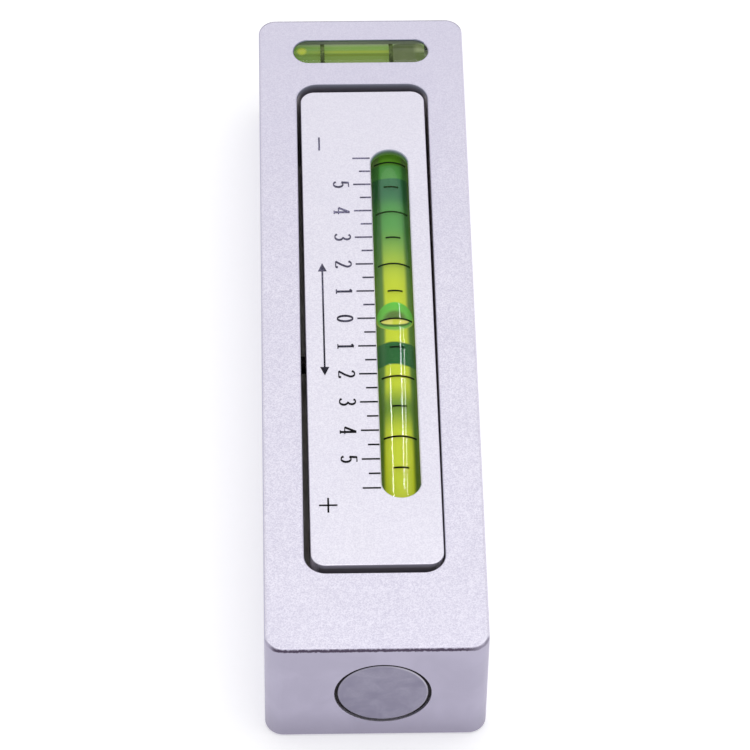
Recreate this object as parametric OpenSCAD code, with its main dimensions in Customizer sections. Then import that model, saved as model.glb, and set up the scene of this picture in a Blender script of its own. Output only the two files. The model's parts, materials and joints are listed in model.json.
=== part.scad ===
// Camber gauge: an aluminium bar that holds to a wheel hub by the magnet in one end.
// A carrier that tilts in the bar's pocket holds a bent bubble vial and its degree scale.
// Millimetres. X runs across the bar, Y along it with the magnet at -Y, Z out of the scale face.
// The origin is the middle of the bar's back.

/* [Body] */
// Length of the bar
body_l = 115; // [100:1:140]
// Width of the bar
body_w = 30; // [27:1:36]
// Height of the bar, from its back to its scale face
body_h = 19.5; // [19:0.5:23]
// Radius of the four upright edges
body_corner_r = 2.5; // [1:0.5:4]
// Radius that breaks the edges of the scale face and of the back
body_edge_r = 0.45; // [0.2:0.05:0.8]
// Thickness of the floor left under the pocket
floor_t = 3; // [2.4:0.2:4.4]
// Distance of the pocket from each end of the bar
pocket_from_end = 12.9; // [12.4:0.1:16]
// Radius of the pocket's upright edges
pocket_corner_r = 3; // [2:0.25:4]
// Chamfer round the mouth of the pocket
pocket_rim = 0.15; // [0.05:0.05:0.4]

/* [Carrier] */
// Width of the carrier
carrier_w = 18; // [17.5:0.1:20]
// Height of the carrier
carrier_h = 12.8; // [12:0.1:13.4]
// Radius of the carrier's upright edges
carrier_corner_r = 2; // [1:0.25:3]
// Radius that breaks the other edges of the carrier
carrier_edge_r = 0.15; // [0.05:0.05:0.3]
// How far the carrier's face lies below the scale face
carrier_recess = 0.2; // [0:0.05:0.6]
// Gap between the carrier and the pocket at each end, which lets it tilt
carrier_end_gap = 1.4; // [0.8:0.1:2]
// Gap between the carrier and the pocket on each side
carrier_side_gap = 0.55; // [0.5:0.05:0.9]
// Angle at which the carrier sits in its side gaps
carrier_yaw = 0.25; // [0:0.05:0.3]
// How far to the right the carrier sits in its side gaps
carrier_shift = 0.2; // [0:0.05:0.2]

/* [Pivot] */
// Depth of the pivot below the carrier's face
pivot_drop = 10.3; // [9.8:0.1:10.6]
// Diameter of the pivot pin
pin_d = 2.5; // [2:0.1:3]
// Radial clearance of the carrier on the pin
pin_running_gap = 0.04; // [0.02:0.01:0.1]
// Radial gap round the pin where it is pressed into the bar
pin_press_gap = 0.005; // [0:0.005:0.01]
// Depth of the pin's blind hole in the left wall of the pocket
pin_blind_depth = 3.5; // [2:0.25:4]
// How far the pin's outer end lies below the right side of the bar
pin_recess = 0.3; // [0:0.1:1]

/* [Zero screws] */
// Outside diameter of the two screws that set the carrier's tilt
screw_d = 4; // [3:0.5:5]
// Radial clearance that stands for the thread's play
screw_gap = 0.05; // [0.02:0.01:0.1]
// Distance of each screw from the end of the carrier
screw_from_end = 3.7; // [3.2:0.1:3.8]
// How far each screw's outer end lies below the back of the bar
screw_recess = 0.8; // [0.4:0.1:1.4]
// Clearance between each screw's tip and the carrier
screw_tip_gap = 0.02; // [0.01:0.01:0.1]
// Radius of the screws' rounded tips
screw_tip_r = 4; // [3:0.5:6]
// Width across the flats of the screws' hexagon sockets
screw_hex = 2; // [1.5:0.5:2.5]
// Depth of the screws' hexagon sockets
screw_hex_depth = 1.8; // [1:0.2:2.4]

/* [Main vial] */
// Distance of the vial from the middle of the carrier
vial_x = 3.58; // [3.3:0.02:4]
// Outside diameter of the vial
vial_d = 7.2; // [6.8:0.1:7.6]
// Wall thickness of the vial
vial_wall = 0.8; // [0.6:0.1:1.2]
// How far the top of the vial lies below the carrier's face
vial_drop = 0.1; // [0:0.05:0.4]
// Length of the stopper in each end of the vial
vial_plug_l = 2.2; // [1.5:0.1:2.6]
// Distance of the window from each end of the carrier
window_from_end = 11.45; // [10.5:0.05:13]
// Width of the window in the carrier's face
window_w = 5.4; // [5.1:0.1:5.8]
// Thickness of the carrier's face round the window
window_lip = 1.1; // [0.7:0.1:1.1]
// Thickness of the carrier past each end of the trough that the vial lies in
trough_end_wall = 5.8; // [5.6:0.1:7]
// Clearance between the vial and the sides of the trough
trough_gap = 0.1; // [0.05:0.05:0.2]
// Room in the trough past each end of the vial
trough_end_gap = 1.05; // [1:0.05:1.3]
// Radius of the upright edges of the trough
trough_corner_r = 1.5; // [0.5:0.25:1.5]
// Length of the resin that holds each end of the vial
vial_resin_l = 5; // [3:0.5:6]
// How far the resin lies above the underside of the carrier
vial_resin_recess = 0.6; // [0.2:0.2:1.6]

/* [Main bubble] */
// Radius of the ball that shapes the bubble
bubble_r = 2.7; // [2.5:0.1:2.9]
// Height of that ball's centre above the top of the vial's bore
bubble_rise = 0.85; // [0.5:0.05:1.2]
// Place of the bubble along the bend, in degrees towards the far end
bubble_rest = 0.15; // [-1:0.05:1]
// Clearance between a bubble and the bore or liquid round it
bubble_gap = 0.03; // [0.02:0.01:0.06]

/* [Scale] */
// Distance along the scale for each degree, which also sets the vial's bend
scale_pitch = 5.02; // [4.8:0.02:5.1]
// Width of each line
tick_w = 0.25; // [0.15:0.05:0.4]
// Length of the lines at whole degrees
tick_long = 2.5; // [2:0.1:3]
// Length of the lines at half degrees
tick_short = 1.6; // [1:0.1:2]
// Gap between the lines and the window
tick_gap = 0.1; // [0.05:0.05:0.3]
// Height of the numerals
numeral_h = 2.35; // [1.8:0.05:2.8]
// Width of the numerals, against a narrow letter of their height
numeral_wide = 1.1; // [0.9:0.05:1.2]
// Width of the numerals' broad strokes
numeral_broad = 0.32; // [0.2:0.01:0.36]
// Width of the numerals' thin strokes
numeral_thin = 0.15; // [0.1:0.01:0.2]
// Gap between the numerals and the long lines
numeral_gap = 0.55; // [0.3:0.05:0.8]
// Height of the plus and minus signs
sign_h = 2.5; // [2:0.1:3]
// Distance of the signs from the end of the carrier
sign_from_end = 10.2; // [8:0.1:11]
// Gap between the numerals and the signs and arrow beside them
sign_gap = 0.6; // [0.3:0.1:1]
// Length of the double arrow beside the numerals
arrow_l = 20; // [12:1:30]
// Thickness of the ink
ink_t = 0.03; // [0.02:0.01:0.05]

/* [Ring marks] */
// Distance between the main vial's marks, along its top
ring_pitch = 5.14; // [4.8:0.02:5.2]
// Width of the marks round both vials
ring_w = 0.3; // [0.2:0.05:0.5]
// How far a long mark reaches round the vial, each way from its top
ring_long_angle = 39; // [30:1:48]
// How far a short mark reaches round the vial, each way from its top
ring_short_angle = 17; // [10:1:24]
// How far the main vial and its marks are turned to the right in their resin
ring_turn = 2.5; // [0:0.5:6]

/* [Cross vial] */
// Distance of the cross vial from the far end of the bar
cross_from_end = 6.3; // [6:0.1:7]
// Distance of the cross vial from the middle of the bar
cross_x = -0.6; // [-1:0.1:1]
// Outside diameter of the cross vial
cross_d = 8.2; // [7.6:0.1:8.4]
// Wall thickness of the cross vial
cross_wall = 0.9; // [0.7:0.1:1.2]
// Length of the cross vial
cross_l = 22; // [21.5:0.1:23]
// Length of the stopper in each end of the cross vial
cross_plug_l = 1; // [0.6:0.1:1.4]
// Length of the cross vial's window
cross_window_l = 19.8; // [18:0.2:20.4]
// Width of the cross vial's window
cross_window_w = 4.5; // [4:0.1:5]
// Thickness of the lip round the window, under which the cross vial lies
cross_lip = 0.4; // [0.3:0.05:0.8]
// Clearance between the cross vial and the lip
cross_top_gap = 0.05; // [0.02:0.01:0.1]
// Clearance between the cross vial and the sides of its pocket
cross_gap = 0.1; // [0.05:0.05:0.2]
// Room in its pocket past each end of the cross vial
cross_end_gap = 1.05; // [1:0.05:1.3]
// Radius of the upright edges of the cross vial's pocket
cross_corner_r = 1.5; // [0.5:0.25:1.5]
// Distance between the cross vial's two ring marks
cross_ring_span = 10.1; // [8:0.1:12]
// Width of the cross vial's ring marks
cross_ring_w = 0.6; // [0.3:0.05:0.8]
// Radius of the ball that shapes the cross vial's bubble
cross_bubble_r = 2.35; // [2.1:0.05:2.8]
// Depth of that ball's centre below the top of the cross vial's bore
cross_bubble_sink = 0.4; // [0:0.1:0.8]
// How far the resin lies inside the back of the bar
cross_resin_recess = 0.3; // [0.1:0.1:1]

/* [Magnet] */
// Diameter of the magnet
magnet_d = 12.4; // [11:0.1:13]
// Thickness of the magnet
magnet_t = 8; // [6:0.5:10]
// Distance of the magnet from the middle of the bar
magnet_x = 0.85; // [-1:0.05:1]
// Height of the magnet above the back of the bar
magnet_z = 9.65; // [9:0.05:10.5]
// Radial gap between the magnet and its bore
magnet_gap = 0.35; // [0.1:0.05:0.5]
// Chamfer round the edge of the magnet
magnet_chamfer = 0.25; // [0.1:0.05:0.4]
// How far the magnet's face lies inside the end of the bar
magnet_recess = 0.05; // [0:0.05:0.2]
// Thickness of the glue behind the magnet
glue_t = 0.2; // [0.1:0.05:0.4]
// How far the glue round the magnet lies inside the end of the bar
glue_recess = 0.4; // [0.2:0.05:0.8]

/* [Hidden] */
$fn = 64;
arch_fn = 1440;
bubble_fn = 128;
tiny_gap = 0.005;
cut = 1;

// Carrier, pocket and pivot
face_z = body_h - carrier_recess;
carrier_z = face_z - carrier_h;
pocket_l = body_l - 2 * pocket_from_end;
carrier_l = pocket_l - 2 * carrier_end_gap;
pocket_w = carrier_w + 2 * carrier_side_gap;
pivot_z = face_z - pivot_drop;
pin_r = pin_d / 2;
pin_left = -pocket_w / 2 - pin_blind_depth;
pin_right = body_w / 2 - pin_recess;

// Zero screws
screw_r = screw_d / 2;
screw_y = carrier_l / 2 - screw_from_end;
screw_tip_z = carrier_z - screw_tip_gap;
hex_r = screw_hex / sqrt(3);

// Main vial, bent about a centre far below it so that a degree is one scale_pitch
vial_r = vial_d / 2;
bore_r = vial_r - vial_wall;
vial_z = face_z - vial_drop - vial_r;
arch_r = scale_pitch * 180 / PI;
trough_l = carrier_l - 2 * trough_end_wall;
vial_half = asin((trough_l / 2 - trough_end_gap) / (arch_r + vial_r));
plug_half = vial_half - vial_plug_l / arch_r * 180 / PI;
window_l = carrier_l - 2 * window_from_end;
trough_w = vial_d + 2 * trough_gap;
trough_top = face_z - window_lip;
resin_top = vial_z - arch_r * (1 - cos(vial_half));
ring_step = ring_pitch / (arch_r + vial_r) * 180 / PI;
bubble_z = bore_r + bubble_rise;
bubble_half = (bubble_r + cut) / arch_r * 180 / PI;

// Scale, as many degrees as the window has room for, with its lines beside the window
scale_degrees = floor(window_l / 2 / max(scale_pitch, ring_pitch));
tick_end = vial_x - window_w / 2 - tick_gap;
numeral_top = tick_end - tick_long - numeral_gap;
sign_top = numeral_top - numeral_h - sign_gap;
sign_y = carrier_l / 2 - sign_from_end;
ink_z = face_z + tiny_gap;

// Cross vial
cross_y = body_l / 2 - cross_from_end;
cross_r = cross_d / 2;
cross_bore_r = cross_r - cross_wall;
cross_z = body_h - cross_lip - cross_top_gap - cross_r;
cross_pocket_l = cross_l + 2 * cross_end_gap;
cross_pocket_w = cross_d + 2 * cross_gap;
cross_pocket_top = body_h - cross_lip;
cross_bubble_z = cross_bore_r - cross_bubble_sink;
cross_bubble_half = sqrt(cross_bubble_r ^ 2 - cross_bubble_sink ^ 2);
cross_bubble_x = cross_l / 2 - cross_plug_l - cross_bubble_half - bubble_gap;

// Magnet
magnet_bore_r = magnet_d / 2 + magnet_gap;
magnet_bore_depth = magnet_recess + magnet_t + glue_t;

// ---- Shapes that several pieces share ----

// Sweeps the upright section given as its child round a rectangle with round corners.
// The section runs outwards from the centre of the corner radius r, from z0 up to z1.
module swept_block(l, w, r, z0, z1) {
  dx = w / 2 - r;
  dy = l / 2 - r;
  for (corner = [[dx, dy, 0], [-dx, dy, 90], [-dx, -dy, 180], [dx, -dy, 270]])
    translate([corner.x, corner.y, 0]) rotate(corner.z) rotate_extrude(angle = 90) children();
  for (side = [0, 180])
    rotate(side) translate([dx, dy, 0]) rotate([90, 0, 0]) linear_extrude(2 * dy) children();
  if (dx > 0) {
    for (end = [90, 270])
      rotate(end) translate([dy, dx, 0]) rotate([90, 0, 0]) linear_extrude(2 * dx) children();
    translate([-dx, -dy, z0]) cube([2 * dx, 2 * dy, z1 - z0]);
  }
}

// A block with upright corners of radius r and every other edge broken by edge_r
module soft_block(l, w, r, edge_r, z0, z1) {
  swept_block(l, w, r, z0, z1) {
    translate([0, z0]) square([r - edge_r, z1 - z0]);
    translate([0, z0 + edge_r]) square([r, z1 - z0 - 2 * edge_r]);
    for (z = [z0 + edge_r, z1 - edge_r]) translate([r - edge_r, z]) circle(edge_r);
  }
}

// A block whose upright corners have the radius r
module plain_block(l, w, r, z0, z1) {
  swept_block(l, w, r, z0, z1) translate([0, z0]) square([r, z1 - z0]);
}

// The space of a round-cornered opening whose mouth at z1 is chamfered by rim
module opening(l, w, r, rim, z0, z1) {
  swept_block(l, w, r, z0, z1 + cut)
    polygon([[0, z0], [r, z0], [r, z1 - rim], [r + rim, z1], [r + rim, z1 + cut], [0, z1 + cut]]);
}

// Puts its children where the carrier sits in the pocket
module in_carrier() {
  translate([carrier_shift, 0, 0]) rotate([0, 0, carrier_yaw]) children();
}

// Sweeps a section along the vial's bend, between two angles that grow towards the far end
module bent(a0, a1) {
  translate([vial_x, 0, vial_z - arch_r])
    rotate([90, 0, 90])
      rotate([0, 0, 90 - a1])
        rotate_extrude(angle = a1 - a0, $fn = arch_fn) translate([arch_r, 0]) children();
}

// Puts its children on the vial's axis at an angle along its bend
module on_bend(a) {
  translate([vial_x, 0, vial_z - arch_r]) rotate([-a, 0, 0]) translate([0, 0, arch_r]) children();
}

// A band of ink on a tube of radius r along Y, reaching span degrees each way from its top
module ring_mark(r, w, span) {
  rotate([90, 0, 0])
    rotate([0, 0, 90 - span])
      rotate_extrude(angle = 2 * span) translate([r + tiny_gap, -w / 2]) square([ink_t, w]);
}

// A cylinder of length l centred along X
module along_x(r, l) {
  rotate([0, 90, 0]) cylinder(r = r, h = l, center = true);
}

// ---- Pieces of the bar ----

module body() {
  color("gainsboro") difference() {
    soft_block(body_l, body_w, body_corner_r, body_edge_r, 0, body_h);
    opening(pocket_l, pocket_w, pocket_corner_r, pocket_rim, floor_t, body_h);
    pin_holes();
    for (y = [-screw_y, screw_y])
      translate([0, y, -cut]) cylinder(r = screw_r + screw_gap, h = floor_t + 2 * cut);
    cross_vial_space();
    translate([magnet_x, -body_l / 2 + magnet_bore_depth, magnet_z])
      rotate([90, 0, 0]) cylinder(r = magnet_bore_r, h = magnet_bore_depth + cut);
  }
}

// The hole through the right wall and the blind one in the left wall
module pin_holes() {
  translate([pin_left, 0, pivot_z])
    rotate([0, 90, 0]) cylinder(r = pin_r + pin_press_gap, h = body_w);
}

// The pocket that takes the cross vial from the back, and its window
module cross_vial_space() {
  cross_pocket(-cut, cross_pocket_top);
  translate([0, cross_y, 0]) rotate(90)
    opening(cross_window_l, cross_window_w, cross_window_w / 2, pocket_rim, cross_z, body_h);
}

module cross_pocket(z0, z1) {
  translate([cross_x, cross_y, 0]) rotate(90)
    plain_block(cross_pocket_l, cross_pocket_w, cross_corner_r, z0, z1);
}

module pivot_pin() {
  color("silver") translate([pin_left, 0, pivot_z])
    rotate([0, 90, 0]) cylinder(r = pin_r, h = pin_right - pin_left);
}

module magnet() {
  color("darkgray") translate([magnet_x, -body_l / 2 + magnet_recess, magnet_z])
    rotate([-90, 0, 0]) rotate_extrude() polygon([
      [0, 0], [magnet_d / 2 - magnet_chamfer, 0], [magnet_d / 2, magnet_chamfer],
      [magnet_d / 2, magnet_t], [0, magnet_t]
    ]);
}

module magnet_glue() {
  color("dimgray") translate([magnet_x, -body_l / 2, magnet_z]) rotate([-90, 0, 0]) difference() {
    translate([0, 0, glue_recess])
      cylinder(r = magnet_bore_r, h = magnet_bore_depth - glue_recess);
    translate([0, 0, glue_recess - cut])
      cylinder(r = magnet_d / 2, h = magnet_recess + magnet_t - glue_recess + cut);
  }
}

// ---- Cross vial ----

// Puts its children on the cross vial's axis
module on_cross_vial() {
  translate([cross_x, cross_y, cross_z]) children();
}

module cross_vial() {
  color("lightcyan", 0.4) on_cross_vial() difference() {
    along_x(cross_r, cross_l);
    along_x(cross_bore_r, cross_l + 2 * cut);
  }
}

module cross_vial_plug(side) {
  color("whitesmoke") on_cross_vial()
    translate([side * (cross_l - cross_plug_l) / 2, 0, 0])
      along_x(cross_bore_r - tiny_gap, cross_plug_l);
}

module cross_vial_plug_left() {
  cross_vial_plug(-1);
}

module cross_vial_plug_right() {
  cross_vial_plug(1);
}

// The space inside the cross vial, of radius r, that its bubble takes, enlarged by grow
module cross_bubble_space(r, grow) {
  intersection() {
    along_x(r, cross_l, $fn = bubble_fn);
    translate([cross_bubble_x, 0, cross_bubble_z]) sphere(cross_bubble_r + grow, $fn = bubble_fn);
  }
}

module cross_vial_liquid() {
  color("yellowgreen", 0.7) on_cross_vial() difference() {
    along_x(cross_bore_r - tiny_gap, cross_l - 2 * cross_plug_l);
    cross_bubble_space(cross_r, bubble_gap);
  }
}

module cross_vial_bubble() {
  color("white", 0.5) on_cross_vial() cross_bubble_space(cross_bore_r - bubble_gap, 0);
}

module cross_vial_rings() {
  color("black") on_cross_vial()
    for (x = [-cross_ring_span / 2, cross_ring_span / 2])
      translate([x, 0, 0]) rotate(90) ring_mark(cross_r, cross_ring_w, ring_long_angle);
}

module cross_vial_resin() {
  color("white") difference() {
    cross_pocket(cross_resin_recess, cross_z);
    on_cross_vial() along_x(cross_r, cross_l);
  }
}

// ---- Carrier and main vial ----

module carrier() {
  color("gainsboro") difference() {
    in_carrier() difference() {
      soft_block(carrier_l, carrier_w, carrier_corner_r, carrier_edge_r, carrier_z, face_z);
      translate([vial_x, 0, 0])
        opening(window_l, window_w, window_w / 2, carrier_edge_r, trough_top - cut, face_z);
      trough(carrier_z - cut, trough_top);
    }
    translate([0, 0, pivot_z]) along_x(pin_r + pin_running_gap, carrier_w + 2 * cut);
  }
}

// The trough that takes the main vial from the back of the carrier
module trough(z0, z1) {
  translate([vial_x, 0, 0]) plain_block(trough_l, trough_w, trough_corner_r, z0, z1);
}

module main_vial() {
  color("lightcyan", 0.4) in_carrier() bent(-vial_half, vial_half) difference() {
    circle(vial_r);
    circle(bore_r);
  }
}

module main_vial_plug_far() {
  color("whitesmoke") in_carrier() bent(plug_half, vial_half) circle(bore_r - tiny_gap);
}

module main_vial_plug_near() {
  color("whitesmoke") in_carrier() bent(-vial_half, -plug_half) circle(bore_r - tiny_gap);
}

// The space inside the main vial, of radius r, that its bubble takes, enlarged by grow
module main_bubble_space(r, grow) {
  intersection() {
    bent(bubble_rest - bubble_half, bubble_rest + bubble_half) circle(r, $fn = bubble_fn);
    on_bend(bubble_rest) translate([0, 0, bubble_z]) sphere(bubble_r + grow, $fn = bubble_fn);
  }
}

module main_vial_liquid() {
  color("yellowgreen", 0.7) in_carrier() difference() {
    bent(-plug_half, plug_half) circle(bore_r - tiny_gap);
    main_bubble_space(vial_r, bubble_gap);
  }
}

module main_vial_bubble() {
  color("white", 0.5) in_carrier() main_bubble_space(bore_r - bubble_gap, 0);
}

module main_vial_rings() {
  color("black") in_carrier()
    for (n = [-scale_degrees : scale_degrees])
      on_bend(n * ring_step) rotate([0, ring_turn, 0])
        ring_mark(vial_r, ring_w, n % 2 == 0 ? ring_long_angle : ring_short_angle);
}

// The resin under one end of the vial, on the side given as 1 or -1
module main_vial_resin(side) {
  color("white") in_carrier() difference() {
    intersection() {
      trough(carrier_z + vial_resin_recess, resin_top);
      translate([vial_x, side * trough_l / 2, resin_top])
        cube([trough_w + cut, 2 * vial_resin_l, 2 * carrier_h], center = true);
    }
    bent(-vial_half, vial_half) circle(vial_r);
  }
}

module main_vial_resin_far() {
  main_vial_resin(1);
}

module main_vial_resin_near() {
  main_vial_resin(-1);
}

// ---- Scale ----

// Ink laid on the carrier's face
module printed() {
  color("midnightblue") in_carrier() translate([0, 0, ink_z]) linear_extrude(ink_t) children();
}

module scale_lines() {
  printed() for (half = [-2 * scale_degrees : 2 * scale_degrees]) {
    l = half % 2 == 0 ? tick_long : tick_short;
    translate([tick_end - l, half * scale_pitch / 2 - tick_w / 2]) square([l, tick_w]);
  }
}

// A pen stroke through points, broad where it runs upright and thin where it lies flat
function along(p, i) =
  let (d = p[min(i + 1, len(p) - 1)] - p[max(i - 1, 0)]) d / norm(d);
function pen(d) = (numeral_thin + (numeral_broad - numeral_thin) * abs(d.y)) / 2 / numeral_h;
function nib(p, i, s) = let (d = along(p, i)) p[i] + s * pen(d) * [-d.y, d.x];
function stroke_edge(p, s) = [for (i = [0 : len(p) - 1]) nib(p, i, s)];
function turned(p) = [for (i = [len(p) - 1 : -1 : 0]) p[i]];
function curve(c, r, a0, a1, n) =
  [for (i = [0 : n]) let (a = a0 + (a1 - a0) * i / n) c + [r.x * cos(a), r.y * sin(a)]];

module stroke(p) {
  polygon(concat(stroke_edge(p, 1), turned(stroke_edge(p, -1))));
}

// The numerals 0 to 5, one unit high, as strokes that start from x = 0
numeral_w = [0.48, 0.4, 0.5, 0.48, 0.52, 0.48];
numeral_strokes = [
  [],
  [[[0.22, 0.02], [0.22, 0.98]], [[0.07, 0.84], [0.2, 0.95]], [[0.06, 0.024], [0.38, 0.024]]],
  [concat(curve([0.24, 0.75], [0.19, 0.22], 165, -20, 10), [[0.3, 0.4], [0.06, 0.03]]),
    [[0.04, 0.03], [0.46, 0.03]], [[0.45, 0.03], [0.47, 0.16]]],
  [curve([0.21, 0.75], [0.18, 0.22], 150, -80, 10), curve([0.2, 0.28], [0.22, 0.25], 85, -150, 12)],
  [[[0.36, 0.02], [0.36, 0.97]], [[0.35, 0.96], [0.04, 0.29]], [[0.03, 0.29], [0.5, 0.29]],
    [[0.24, 0.024], [0.48, 0.024]]],
  [[[0.1, 0.95], [0.42, 0.95]], [[0.11, 0.96], [0.08, 0.52]],
    curve([0.22, 0.32], [0.2, 0.29], 135, -150, 14)]
];

module numeral(n) {
  translate([-numeral_w[n] / 2, 0]) {
    for (p = numeral_strokes[n]) stroke(p);
    if (n == 0) nought();
  }
}

module nought() {
  ring = curve([numeral_w[0] / 2, 0.5], [0.19, 0.46], 0, 345, 23);
  difference() {
    polygon([for (i = [0 : 23]) nib_round(ring, i, -1)]);
    polygon([for (i = [0 : 23]) nib_round(ring, i, 1)]);
  }
}
function nib_round(p, i, s) =
  let (n = len(p), d = p[(i + 1) % n] - p[(i + n - 1) % n], u = d / norm(d))
    p[i] + s * pen(u) * [-u.y, u.x];

module scale_numerals() {
  last = min(scale_degrees - 1, len(numeral_w) - 1);
  printed() for (n = [-last : last])
    translate([numeral_top - numeral_h, n * scale_pitch])
      rotate(-90) scale([numeral_wide * numeral_h, numeral_h]) numeral(abs(n));
}

// A minus sign at the far end, a plus sign at the near end and a double arrow between them
module scale_signs() {
  x = sign_top - sign_h / 2;
  printed() {
    translate([x, sign_y]) square([tick_w, sign_h], center = true);
    translate([x, -sign_y]) {
      square([tick_w, sign_h], center = true);
      square([sign_h, tick_w], center = true);
    }
    translate([x, 0]) square([tick_w, arrow_l], center = true);
    for (s = [-1, 1]) translate([x, s * arrow_l / 2])
      polygon([[-sign_h / 4, -s * sign_h / 2], [sign_h / 4, -s * sign_h / 2], [0, s * tick_w]]);
  }
}

// ---- Zero screws ----

// A headless screw with a rounded tip against the carrier and a hexagon socket in its outer end
module zero_screw(y) {
  color("dimgray") translate([0, y, 0]) difference() {
    intersection() {
      translate([0, 0, screw_recess]) cylinder(r = screw_r, h = screw_tip_z - screw_recess);
      translate([0, 0, screw_tip_z - screw_tip_r]) union() {
        sphere(screw_tip_r);
        translate([0, 0, -body_h]) cylinder(r = screw_r + cut, h = body_h);
      }
    }
    translate([0, 0, screw_recess - cut]) cylinder(r = hex_r, h = screw_hex_depth + cut, $fn = 6);
  }
}

module zero_screw_far() {
  zero_screw(screw_y);
}

module zero_screw_near() {
  zero_screw(-screw_y);
}

body();
pivot_pin();
magnet();
magnet_glue();
cross_vial();
cross_vial_plug_left();
cross_vial_plug_right();
cross_vial_liquid();
cross_vial_bubble();
cross_vial_rings();
cross_vial_resin();
carrier();
main_vial();
main_vial_plug_far();
main_vial_plug_near();
main_vial_liquid();
main_vial_bubble();
main_vial_rings();
main_vial_resin_far();
main_vial_resin_near();
scale_lines();
scale_numerals();
scale_signs();
zero_screw_far();
zero_screw_near();
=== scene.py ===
# %% [markdown]
# # A camber gauge
# This lesson dresses a machined part. The gauge is an aluminium bar with a magnet in one end. A
# carrier tilts in its pocket, with a bent bubble vial beside a degree scale, and a short cross vial
# lies at the far end. The metal keeps the shapes that it was made with, so most of the work is finish:
# blasted and milled metal, ink, nickel and steel. Only the liquids, the bubbles and the set screws get
# shapes of their own.

# %% Load the gauge
import json
from math import asin, atan2, cos, degrees, pi, radians, sin, sqrt

import bmesh
import bpy
from mathutils import Matrix, Vector


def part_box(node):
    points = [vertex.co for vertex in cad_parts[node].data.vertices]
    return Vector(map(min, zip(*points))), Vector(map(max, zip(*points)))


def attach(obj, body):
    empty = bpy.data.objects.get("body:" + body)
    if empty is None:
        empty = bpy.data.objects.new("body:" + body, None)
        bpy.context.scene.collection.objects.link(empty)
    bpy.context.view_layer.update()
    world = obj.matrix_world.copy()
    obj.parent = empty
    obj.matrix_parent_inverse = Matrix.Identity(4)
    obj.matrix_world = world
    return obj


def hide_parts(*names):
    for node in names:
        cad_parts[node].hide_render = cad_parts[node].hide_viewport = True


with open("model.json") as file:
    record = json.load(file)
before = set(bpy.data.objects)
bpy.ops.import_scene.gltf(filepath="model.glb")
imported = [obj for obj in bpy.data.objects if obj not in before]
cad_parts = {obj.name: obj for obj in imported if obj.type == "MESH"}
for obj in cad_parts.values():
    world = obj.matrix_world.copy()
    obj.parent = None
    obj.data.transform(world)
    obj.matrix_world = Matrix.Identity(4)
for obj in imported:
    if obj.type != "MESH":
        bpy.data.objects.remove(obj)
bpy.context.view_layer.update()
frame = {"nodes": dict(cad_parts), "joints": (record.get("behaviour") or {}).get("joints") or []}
MM = 0.001

# %% [markdown]
# ## Camera
# The lens is long, so the bar hardly narrows with distance. A camera could be moved by hand until the
# outlines agree, but its distance and its lens are hard to tell apart that way. So both were worked out
# from points measured along the bar's edges and its scale in the photograph. That gives the focal
# length in pixels, and this over the width of the frame, times the width of the sensor, is the lens.

# %% Camera
FRAME_PIXELS = 750
FOCAL_PIXELS = 4600
SENSOR_WIDTH = 36
CAMERA_PLACE = Vector((-13.78, -413.98, 514.18))
CAMERA_TURN = (39.219, -0.640, -1.274)

camera_data = bpy.data.cameras.new("camera")
camera_data.sensor_width = SENSOR_WIDTH
camera_data.lens = FOCAL_PIXELS / FRAME_PIXELS * SENSOR_WIDTH
camera_data.clip_start = 0.05
camera = bpy.data.objects.new("camera", camera_data)
camera.location = CAMERA_PLACE * MM
camera.rotation_euler = [radians(angle) for angle in CAMERA_TURN]
bpy.context.collection.objects.link(camera)
bpy.context.scene.camera = camera
bpy.context.scene.view_settings.view_transform = "Standard"
print("lens", round(camera_data.lens), "mm")

# %% [markdown]
# ## Helpers for materials
# A material here is a small tree of nodes. Building one by hand takes several lines for each node, so
# three helpers do it in one: `node` places a node and fills its inputs, `maths` does a sum with one,
# and `paint_mix` blends two colours. An input takes either a plain value or another node's output.

# %% Node helpers
def screen_colour(code):
    """A colour as a screen shows it, such as #C8D045, in the light values that a shader needs."""
    parts = [int(code[start:start + 2], 16) / 255 for start in (1, 3, 5)]
    return [part / 12.92 if part <= 0.04045 else ((part + 0.055) / 1.055) ** 2.4 for part in parts]


def feed(tree, socket, value):
    """Gives an input a plain value, or wires another node's output to it."""
    if isinstance(value, bpy.types.NodeSocket):
        tree.links.new(value, socket)
    elif isinstance(value, str):
        socket.default_value = (*screen_colour(value), 1)
    else:
        socket.default_value = value


def node(tree, kind, inputs=None, **settings):
    placed = tree.nodes.new("ShaderNode" + kind)
    for name, value in settings.items():
        setattr(placed, name, value)
    for name, value in (inputs or {}).items():
        feed(tree, placed.inputs[name], value)
    return placed


def maths(tree, operation, *values, clamp=False):
    placed = node(tree, "Math", operation=operation, use_clamp=clamp)
    for socket, value in zip(placed.inputs, values):
        feed(tree, socket, value)
    return placed.outputs[0]


def paint_mix(tree, share, first, second):
    """The first colour where share is 0, the second where it is 1, and a blend between."""
    return node(tree, "Mix", {0: share, 6: first, 7: second}, data_type="RGBA").outputs[2]


print("a mid grey on the screen is", round(screen_colour("#808080")[0], 2), "of its white in light")

# %% [markdown]
# ## Places and masks
# A finish changes from place to place: an edge is rubbed, a gap is oily. It could be painted by hand on
# an unwrapped mesh. Here each zone is worked out from where a point lies, in millimetres, because that
# stays sharp at any distance and needs no image. Such a zone is a mask, 1 inside it and 0 outside.

# %% Masks
def place_of(tree):
    """The place on the piece, in millimetres: whole, and as its X, Y and Z."""
    here = node(tree, "TexCoord").outputs["Object"]
    scaled = node(tree, "VectorMath", {0: here, 3: 1 / MM}, operation="SCALE").outputs[0]
    return scaled, *node(tree, "SeparateXYZ", {0: scaled}).outputs


def ease(tree, value, start, end):
    """0 before start and 1 after end, with a smooth rise between them."""
    placed = node(tree, "MapRange", {"Value": value, "From Min": start, "From Max": end},
                  interpolation_type="SMOOTHSTEP")
    return placed.outputs["Result"]


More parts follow.
